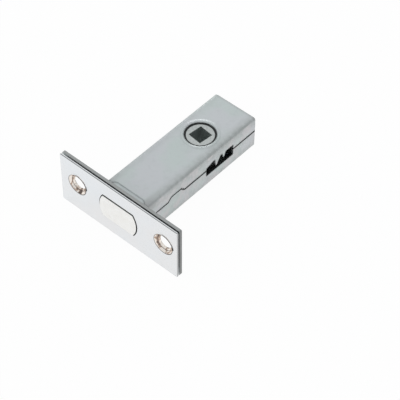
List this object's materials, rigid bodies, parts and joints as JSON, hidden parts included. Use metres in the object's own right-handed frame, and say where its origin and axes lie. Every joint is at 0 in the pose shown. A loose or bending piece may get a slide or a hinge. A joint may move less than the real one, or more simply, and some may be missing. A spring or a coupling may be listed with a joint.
{
  "type": "privacy bolt",
  "caption": "Tubular door privacy bolt: a flat bolt slides through a rectangular forend, driven by a follower with a square spindle socket in a slim pressed-steel case.",
  "frame": {"origin": "centre of the forend plate's rear face, midway between the screw holes", "axes": "+X along the forend's long side, +Y into the door along the case, +Z along the spindle"},
  "size_m": [0.057, 0.065, 0.024],
  "materials": {
    "polished_cover": "polished bright plate",
    "zinc_plated_steel": "bright zinc plate, satin",
    "satin_nickel": "satin nickel plate",
    "cast_follower": "die-cast zinc, dull",
    "plain_steel": "plain steel",
    "spring_steel": "blued spring steel",
    "black_bush": "black acetal"
  },
  "bodies": {
    "case": {"cover_plate": "polished_cover", "forend_plate": "zinc_plated_steel", "upper_shell": "zinc_plated_steel", "lower_shell": "zinc_plated_steel", "upper_bush": "black_bush", "lower_bush": "black_bush", "detent_spring": "spring_steel"},
    "bolt": {"bolt_head": "satin_nickel", "bolt_tail": "zinc_plated_steel", "tail_rivets": "plain_steel"},
    "follower": {"follower": "cast_follower", "crank_pin": "plain_steel"}
  },
  "joints": [
    {"name": "bolt_throw", "type": "slide", "parent": "case", "child": "bolt", "axis": [0, -1, 0], "range_m": [0, 0.011]},
    {"name": "follower_turn", "type": "hinge", "parent": "case", "child": "follower", "pos_m": [0, 0.04205, 0], "axis": [0, 0, 1], "range_deg": [-90, 0], "deforming": ["detent_spring"]}
  ],
  "couplings": [
    {"joint": "follower_turn", "follows": "bolt_throw", "rad_per_m": -142.8}
  ]
}
